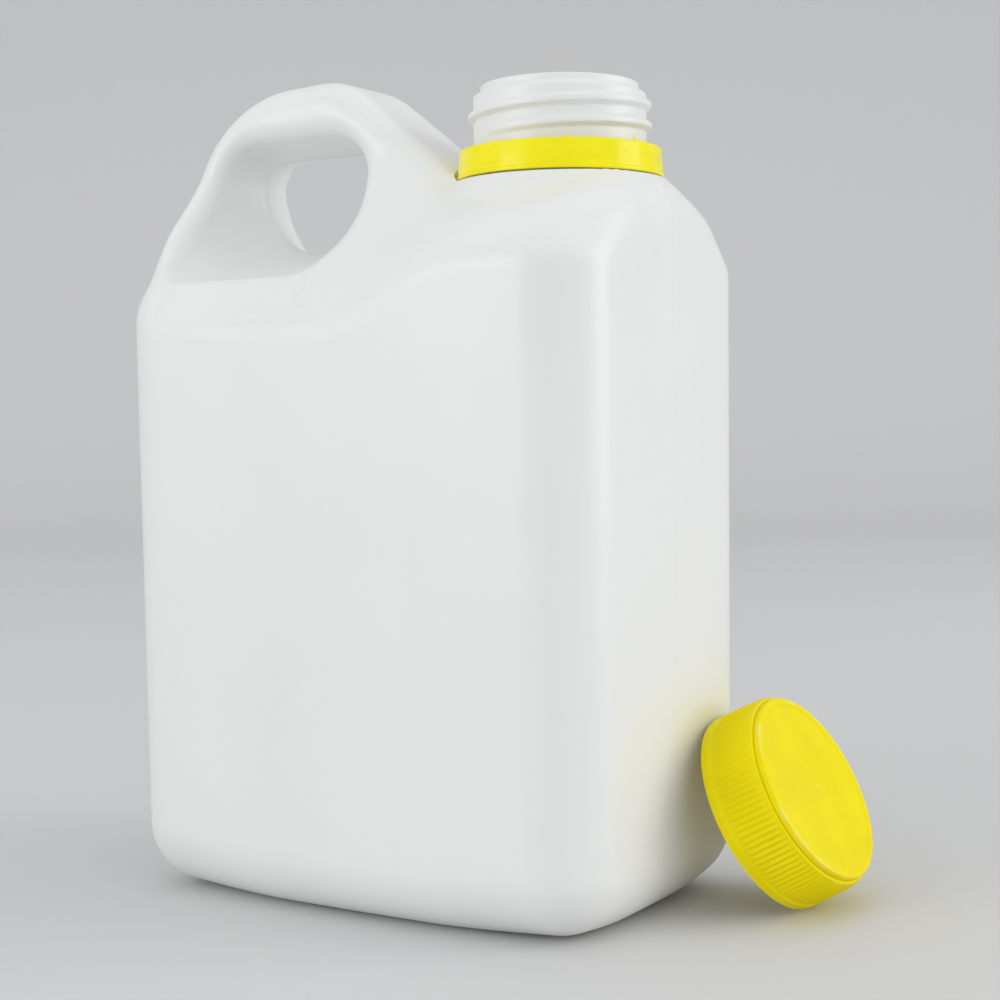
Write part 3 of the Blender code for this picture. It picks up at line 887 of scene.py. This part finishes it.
def moulded_white(finishes):
    """Satin blow-moulded plastic: faint flow marks, orange peel, parting line and scuffs."""
    base = finishes.white
    material, net, shader, where = new_material("moulded white", {"IOR": 1.52})
    _, y, z = net.axes(where)

    flow = net.noise(net.stretch(where, (1.0, 1.0, 0.25)), 26.0, 3.0)
    cloud = net.noise(where, 11.0, 2.0)
    peel = net.noise(where, 900.0, 2.0, 0.4)
    swell = net.noise(where, 34.0, 1.0)
    scratch = net.noise(net.stretch(where, (1.0, 1.0, 9.0)), 70.0, 3.0, 0.6)
    patch = net.step(net.noise(where, 23.0, 3.0), 0.52, 0.72)
    scuff = net.step(scratch, 0.57, 0.66) * patch
    # Darker and rougher towards the base: a greyer colour is mixed in over the lowest 9 mm, fullest
    # below 1 mm, with a strength set by the wear
    low = 1 - net.step(z, 0.001, 0.009)
    seam = 1 - net.step(abs(y), 0.00008, 0.00042)
    cells = net.add("ShaderNodeTexVoronoi", {"Vector": where, "Scale": 95.0, "Randomness": 1.0})
    speck = (1 - net.step(cells, 0.012, 0.03)) * net.step(net.noise(where, 60.0), 0.58, 0.62)

    clouds = net.step(cloud * 0.6 + flow * 0.4, 0.35, 0.65)
    shade = net.varied(clouds, base, 0.015)
    shade = net.mix(speck * (0.25 * finishes.wear), shade, (0.42, 0.40, 0.36, 1.0))
    shade = net.mix(low * (0.10 * finishes.wear), shade, (0.60, 0.59, 0.56, 1.0))
    rough = (finishes.bottle_gloss - 0.03) + 0.06 * flow + scuff * (0.16 * finishes.wear)
    rough = rough + low * 0.10 + seam * 0.04
    layers = [(swell, 0.00035), (peel, 0.000012), (seam, 0.00006), (scuff, 0.00001)]
    normal = bumped(net, layers)
    connect(net, shader, Base_Color=shade, Roughness=rough, Normal=normal)
    return material


def glossy_yellow(finishes):
    """Glossy injection-moulded plastic of the ring, with faint flow lines."""
    base = finishes.ring_yellow
    material, net, shader, where = new_material("glossy yellow", {
        **YELLOW_DEPTH, "Specular IOR Level": 0.20, "Subsurface Weight": 0.08, "Coat Roughness": 0.12})
    flow = net.noise(net.stretch(where, (1.0, 1.0, 4.0)), 120.0, 3.0)
    fine = net.noise(where, 1400.0, 1.0)
    scuff = net.step(net.noise(net.stretch(where, (1.0, 1.0, 7.0)), 240.0, 3.0), 0.58, 0.70)
    shade = net.varied(net.step(flow, 0.3, 0.7), base, 0.03)
    rough = 0.20 + 0.05 * flow + scuff * (0.14 * finishes.wear)
    normal = bumped(net, [(flow, 0.00002), (fine, 0.000003)])
    coat = 0.15 - 0.10 * scuff
    connect(net, shader, Base_Color=shade, Roughness=rough, Normal=normal, Coat_Weight=coat)
    return material


def satin_yellow(finishes, cap, place):
    """Satin injection-moulded plastic of the cap, rubbed light on its edges."""
    base = finishes.cap_yellow
    material, net, shader, where = new_material("satin yellow", {
        **YELLOW_DEPTH, "Specular IOR Level": 0.12, "Subsurface Weight": 0.10})
    own = net.add("ShaderNodeMapping", {
        "Vector": where, "Location": place.translation, "Rotation": place.to_euler(),
    }, vector_type="TEXTURE")
    x, y, z = net.axes(own)
    around = (x * x + y * y) ** 0.5

    flow = net.noise(own, 90.0, 3.0)
    fine = net.noise(own, 1500.0, 1.0)
    rub = net.step(net.noise(own, 130.0, 4.0, 0.6), 0.48, 0.64)
    scuff = net.step(net.noise(net.stretch(own, (1.0, 6.0, 1.0)), 210.0, 3.0), 0.60, 0.70)
    rim = 1 - net.step(abs(around - (cap.disc_radius - 0.0003)), 0.0002, 0.0008)
    top = net.step(z, cap.height - 0.0012, cap.height - 0.0002)
    foot = (1 - net.step(z, 0.0002, 0.0009)) * net.step(around, cap.radius - 0.0009, cap.radius - 0.0002)
    gate = 1 - net.step(around, 0.0003, 0.0008)
    worn = ((rim * top).at_least(foot) * rub).at_least(gate * top) * finishes.wear
    shade = net.varied(net.step(flow, 0.3, 0.7), base, 0.03)
    shade = net.mix(worn, shade, tinted(finishes.worn_yellow, 1.0))
    rough = 0.34 + 0.06 * flow + worn * 0.2 + scuff * (0.10 * finishes.wear)
    normal = bumped(net, [(flow, 0.00008), (fine, 0.000006), (worn, 0.00002)])
    connect(net, shader, Base_Color=shade, Roughness=rough, Normal=normal)
    return material


def stage_white(floor):
    """Plain matt floor and backdrop."""
    material, net, shader, where = new_material("stage", {})
    soft = net.noise(where, 2.0, 2.0)
    shade = net.varied(soft, floor, 0.01)
    connect(net, shader, Base_Color=shade, Roughness=0.72 + 0.05 * soft)
    return material


# Geometry node trees


def node_tree(name, inputs):
    """A geometry node tree with inputs named under their kinds, its net and its input wires."""
    tree = bpy.data.node_groups.new(name, "GeometryNodeTree")
    for kind, labels in {"Geometry": ["Geometry"], **inputs, "Material": ["Material"]}.items():
        for label in labels:
            tree.interface.new_socket(name=label, in_out="INPUT", socket_type="NodeSocket" + kind)
    tree.interface.new_socket(name="Geometry", in_out="OUTPUT", socket_type="NodeSocketGeometry")
    net = Net(tree)
    entry = net.node("NodeGroupInput")
    wires = {socket.name: Wire(net, socket) for socket in entry.outputs if socket.name}
    return tree, net, wires


def end_tree(net, geometry, material):
    """Realize Instances and Set Material, then the tree's output."""
    real = net.add("GeometryNodeRealizeInstances", {0: geometry})
    dressed = net.add("GeometryNodeSetMaterial", {"Geometry": real, "Material": material})
    net.node("NodeGroupOutput", {0: dressed})


def run_tree(item, tree, values):
    """Give a tree its inputs on an object and keep the result as the object's plain mesh."""
    modifier = item.modifiers.new(tree.name, "NODES")
    modifier.node_group = tree
    for socket in tree.interface.items_tree:
        if socket.in_out == "INPUT" and socket.name in values:
            modifier[socket.identifier] = values[socket.name]
    apply_modifiers(item)


def rib_tree():
    """Ribs pressed out of a turned skirt."""
    labels = ["Count", "Depth", "Low", "High", "Fade", "Inner radius"]
    tree, net, given = node_tree("Grip ribs", {"Float": labels})
    x, y, z = net.axes(net.add("GeometryNodeInputPosition"))
    around = (x * x + y * y) ** 0.5
    angle = y.maths("ARCTAN2", y, x)
    wave = y.maths("COSINE", angle * given["Count"])
    crest = (0.5 + 0.5 * wave) ** 1.4
    rise = net.step(z, given["Low"], given["Low"] + given["Fade"])
    fall = 1 - net.step(z, given["High"] - given["Fade"], given["High"])
    outside = net.step(around, given["Inner radius"], given["Inner radius"] + 0.0002)
    lift = crest * rise * fall * outside * given["Depth"] / around.at_least(0.001)
    moved = net.add("GeometryNodeSetPosition", {
        "Geometry": given["Geometry"], "Offset": net.vector(x * lift, y * lift, 0.0)})
    end_tree(net, moved, given["Material"])
    return tree


def stub_tree():
    """Broken bridges standing round the top edge of a ring."""
    tree, net, given = node_tree("Broken bridges", {
        "Int": ["Count", "Seed"], "Float": ["Radius", "Height", "Size", "Turn"], "Vector": ["Centre"]})
    circle = net.add("GeometryNodeMeshCircle", {"Vertices": given["Count"], "Radius": given["Radius"]})
    lift = net.vector(0.0, 0.0, given["Height"])
    centre = net.add("ShaderNodeVectorMath", {0: given["Centre"], 1: lift}, operation="ADD")
    circle = net.add("GeometryNodeTransform", {
        "Geometry": circle, "Translation": centre, "Rotation": net.vector(0.0, 0.0, given["Turn"])})
    stub = net.add("GeometryNodeMeshCone", {
        "Vertices": 7, "Side Segments": 2, "Radius Top": given["Size"] * 0.32,
        "Radius Bottom": given["Size"] * 0.8, "Depth": given["Size"] * 1.3})
    tilt = net.random(given["Seed"], (-0.5, -0.5, 0.0), (0.5, 0.5, 6.28))
    grow = net.random(given["Seed"] + 1, (0.6, 0.6, 0.45), (1.25, 1.0, 1.1))
    stubs = net.add("GeometryNodeInstanceOnPoints", {
        "Points": circle, "Instance": stub, "Rotation": tilt, "Scale": grow})
    joined = net.node("GeometryNodeJoinGeometry")
    for part in (given["Geometry"], stubs):
        net.tree.links.new(part.socket, joined.inputs[0])
    end_tree(net, Wire(net, joined.outputs[0]), given["Material"])
    return tree


# Pieces


class BOTTLE_OT_mould_bottle(bpy.types.Operator):
    """Mould the hollow bottle with its threaded neck"""

    bl_idname = "bottle.mould_bottle"
    bl_label = "Mould the bottle"
    bl_options = {"REGISTER", "UNDO"}

    def execute(self, context):
        sizes = context.scene.bottle_sizes
        neck = context.scene.neck_sizes
        mould = Mould(sizes, neck)
        step = sizes.skin_step * 1.0
        bottle = moulded_skin("bottle_skin", mould, 0.0, 2 * step, 1)
        points, _ = mesh_arrays(bottle.data)
        points[points[:, 2] < BASE_FLATTENING, 2] = 0.0
        set_points(bottle.data, points)
        cavity = moulded_skin("cavity", mould, sizes.wall, 2.2 * step, 0)
        combine(bottle, ring_clearance("ring clearance", sizes, neck, 0.0))
        combine(cavity, ring_clearance("cavity clearance", sizes, neck, sizes.wall))
        combine(bottle, solid_neck(sizes, neck), "UNION")
        combine(bottle, cavity)
        combine(bottle, neck_bore(sizes, neck))
        if not bottle.data.polygons:
            raise RuntimeError("the bottle has no faces")
        finish(bottle, moulded_white(context.scene.bottle_finishes), "bottle")
        return {"FINISHED"}


def ring_profile(ring):
    """The tamper ring's section: a proud lip below, a slim wall above."""
    inner = ring.radius_high - ring.wall
    lip_top = ring.low + RING_LIP
    return rounded_profile([
        (inner, ring.low + 2 * RING_LIP, 0),
        (inner + 0.0008, ring.low, 0),
        (ring.radius_low, ring.low, 0.0002),
        (ring.radius_low, lip_top, 0.0002),
        (ring.radius_low - RING_LIP_WIDTH, lip_top + 0.0002, 0.0002),
        (ring.radius_high, ring.high, 0.0005),
        (inner, ring.high, 0.0003),
        (inner, ring.high - 0.0008, 0),
        (inner + 0.0004, ring.low + 4 * RING_LIP, 0),
    ], 3)


class BOTTLE_OT_turn_ring(bpy.types.Operator):
    """Turn the tamper ring that is left on the neck"""

    bl_idname = "bottle.turn_ring"
    bl_label = "Turn the ring"
    bl_options = {"REGISTER", "UNDO"}

    def execute(self, context):
        ring = context.scene.ring_sizes
        centre = (context.scene.neck_sizes.centre_x, 0.0, 0.0)
        item = lathe("tamper_ring_finished", ring_profile(ring), RING_SEGMENTS, centre)
        yellow = glossy_yellow(context.scene.bottle_finishes)
        run_tree(item, stub_tree(), {
            "Count": ring.stub_count, "Radius": ring.radius_high - STUB_INSET, "Height": ring.high,
            "Size": ring.stub_size, "Seed": STUB_SEED, "Centre": centre,
            "Turn": STUB_TURN, "Material": yellow,
        })
        finish(item, yellow, "tamper_ring")
        return {"FINISHED"}


def cap_profile(cap):
    """The cap's section: plug seal, skirt with its band, shoulder, lipped disc and gate mark."""
    top = cap.height
    ceiling = top - CAP_CEILING_DROP
    shoulder = top - CAP_SHOULDER_DROP
    face = top - CAP_FACE_DROP
    seal_inner = CAP_SEAL_RADIUS - CAP_SEAL_WALL
    skirt_top = cap.skirt_radius - CAP_TAPER
    corners = [
        (0.0, ceiling, 0),
        (seal_inner, ceiling, 0.0003),
        (seal_inner, ceiling - CAP_SEAL_LENGTH, 0.0003),
        (CAP_SEAL_RADIUS, ceiling - CAP_SEAL_LENGTH + 0.0002, 0.0003),
        (CAP_SEAL_RADIUS + 0.0001, ceiling, 0.0003),
        (cap.bore_radius, ceiling, 0.0004),
        (cap.bore_radius, 0.0, 0.0003),
        (cap.radius, 0.0, 0.0003),
        (cap.radius, CAP_BAND, 0.0003),
        (cap.skirt_radius, CAP_BAND + CAP_BAND_SLOPE, 0.0003),
        (skirt_top, shoulder - 0.0002, 0.0005),
        (skirt_top - 0.0005, shoulder, 0.0003),
        (cap.disc_radius - 0.0001, shoulder - 0.0003, 0.0002),
        (cap.disc_radius, shoulder + 0.0002, 0.0002),
        (cap.disc_radius, top, 0.0007),
        (cap.disc_radius - CAP_LIP_WIDTH, top, 0.0003),
        (cap.disc_radius - CAP_LIP_WIDTH - CAP_FACE_DROP, face, 0.0002),
        (0.0017, face, 0.0003),
        (0.0011, face - 0.0002, 0.0003),
        (0.0007, face, 0.0003),
        (0.0004, top - 0.00005, 0.0003),
        (0.0, top - 0.00005, 0),
    ]
    return fine_profile(rounded_profile(corners, 3), CAP_STEP, cap.bore_radius - 0.0001)


class BOTTLE_OT_turn_cap(bpy.types.Operator):
    """Turn the ribbed screw cap and lean it on the bottle"""

    bl_idname = "bottle.turn_cap"
    bl_label = "Turn the cap"
    bl_options = {"REGISTER", "UNDO"}

    def execute(self, context):
        cap = context.scene.cap_sizes
        body = context.scene.bottle_sizes
        neck = context.scene.neck_sizes

        def swell(angle, radius, height):
            inside = np.abs(radius - cap.bore_radius) < 0.0002
            along = height + THREAD_START - CAP_THREAD_LOW
            return np.where(inside, -thread_height(neck, -angle, along, CAP_THREAD_DEPTH), 0.0)

        segments = cap.rib_count * CAP_STEPS_A_RIB
        item = lathe("cap_finished", cap_profile(cap), segments, swell=swell)
        touch = 2 * cap.radius * math.sin(cap.lean)
        wall = body.body_width / 2 + BODY_TAPER * (touch - BODY_MIDDLE) + SIDE_BOW
        reach = cap.radius * math.cos(cap.lean)
        spot = Vector((wall + cap.gap + reach, (CAP_BOX[0].y + CAP_BOX[1].y) / 2, touch / 2))
        place = Matrix.Translation(spot) @ Matrix.Rotation(cap.lean, 4, "Y")
        yellow = satin_yellow(context.scene.bottle_finishes, cap, place)
        run_tree(item, rib_tree(), {
            "Count": float(cap.rib_count), "Depth": cap.rib_depth, "Low": RIB_LOW,
            "High": cap.height - CAP_SHOULDER_DROP - RIB_HEADROOM, "Fade": RIB_FADE,
            "Inner radius": cap.bore_radius + 0.0009, "Material": yellow,
        })
        item.data.transform(place)
        finish(item, yellow, "cap", CAP_CREASE)
        return {"FINISHED"}


# Stage


def soft_light(name, where, width, height, power):
    """A large area light that faces the bottle's middle."""
    light = bpy.data.lights.new(name, "AREA")
    light.shape = "RECTANGLE"
    light.size = width
    light.size_y = height
    light.energy = power
    item = bpy.data.objects.new(name, light)
    item.location = where
    item.rotation_euler = (Vector(LIGHT_TARGET) - Vector(where)).to_track_quat("-Z", "Y").to_euler()
    item.visible_camera = False
    bpy.context.scene.collection.objects.link(item)


def sweep_mesh(reach=9.0, bend=1.2, radius=0.6, top=2.4, drop=0.00005):
    """A floor, a hair under the base, that curves up into a backdrop."""
    bm = bmesh.new()
    line = [(-reach, 0.0), (bend, 0.0)]
    for angle in np.linspace(0.1, math.pi / 2, 12):
        line.append((bend + radius * math.sin(angle), radius * (1 - math.cos(angle))))
    line.append((bend + radius, top))
    rows = []
    for across in (-reach, reach):
        rows.append([bm.verts.new((across, y, z - drop)) for y, z in line])
    for k in range(len(line) - 1):
        bm.faces.new((rows[0][k], rows[1][k], rows[1][k + 1], rows[0][k + 1]))
    mesh = mesh_of(bm, "sweep")
    mesh.transform(Matrix.Rotation(CAMERA_YAW, 4, "Z"))
    mesh.shade_smooth()
    return mesh


def bottle_camera():
    """A camera that looks at the bottle's corner from the neck's side."""
    lens = bpy.data.cameras.new("camera")
    lens.sensor_width = 36.0
    lens.lens = CAMERA_LENS
    lens.clip_start = 0.01
    lens.clip_end = 20.0
    camera = bpy.data.objects.new("camera", lens)
    turn = Matrix.Rotation(CAMERA_YAW, 4, "Z") @ Matrix.Rotation(math.pi / 2 - CAMERA_PITCH, 4, "X")
    roll = Matrix.Rotation(CAMERA_ROLL, 4, "Z")
    camera.matrix_world = Matrix.Translation(CAMERA_PLACE) @ turn @ roll
    bpy.context.scene.collection.objects.link(camera)
    return camera


class BOTTLE_OT_set_stage(bpy.types.Operator):
    """Lay the floor, light the bottle and set the camera"""

    bl_idname = "bottle.set_stage"
    bl_label = "Set the stage"
    bl_options = {"REGISTER", "UNDO"}

    def execute(self, context):
        settings = context.scene.bottle_stage
        sweep = put_in_scene("sweep", sweep_mesh())
        sweep.data.materials.append(stage_white(settings.floor))
        for name, (place, width, height) in LIGHTS.items():
            soft_light(name, place, width, height, getattr(settings, name))
        world = bpy.data.worlds.new("surround")
        world.use_nodes = True
        backdrop = world.node_tree.nodes["Background"]
        backdrop.inputs["Color"].default_value = SURROUND_COLOUR
        backdrop.inputs["Strength"].default_value = settings.surround
        context.scene.world = world
        context.scene.view_settings.view_transform = "Standard"
        context.scene.camera = bottle_camera()
        return {"FINISHED"}


class BOTTLE_PT_sidebar(bpy.types.Panel):
    """Sizes, finishes and pieces of the bottle"""

    bl_idname = "BOTTLE_PT_sidebar"
    bl_label = "Handled bottle"
    bl_space_type = "VIEW_3D"
    bl_region_type = "UI"
    bl_category = "Bottle"

    def draw(self, context):
        layout = self.layout
        for name, group in GROUPS.items():
            box = layout.box()
            box.label(text=group.__doc__)
            for key in group.__annotations__:
                box.prop(getattr(context.scene, name), key)
        for operator in OPERATORS:
            layout.operator(operator.bl_idname)


OPERATORS = (BOTTLE_OT_set_stage, BOTTLE_OT_mould_bottle, BOTTLE_OT_turn_ring, BOTTLE_OT_turn_cap)


def register():
    """Make the properties, operators and panel known."""
    for name, group in GROUPS.items():
        bpy.utils.register_class(group)
        setattr(bpy.types.Scene, name, PointerProperty(type=group))
    for cls in OPERATORS + (BOTTLE_PT_sidebar,):
        bpy.utils.register_class(cls)


def unregister():
    """Take them away again."""
    for cls in (BOTTLE_PT_sidebar,) + OPERATORS[::-1]:
        bpy.utils.unregister_class(cls)
    for name, group in reversed(list(GROUPS.items())):
        delattr(bpy.types.Scene, name)
        bpy.utils.unregister_class(group)


def main():
    """Make every piece and the stage."""
    register()
    bpy.ops.bottle.set_stage()
    bpy.ops.bottle.mould_bottle()
    bpy.ops.bottle.turn_ring()
    bpy.ops.bottle.turn_cap()


if __name__ == "__main__":
    main()
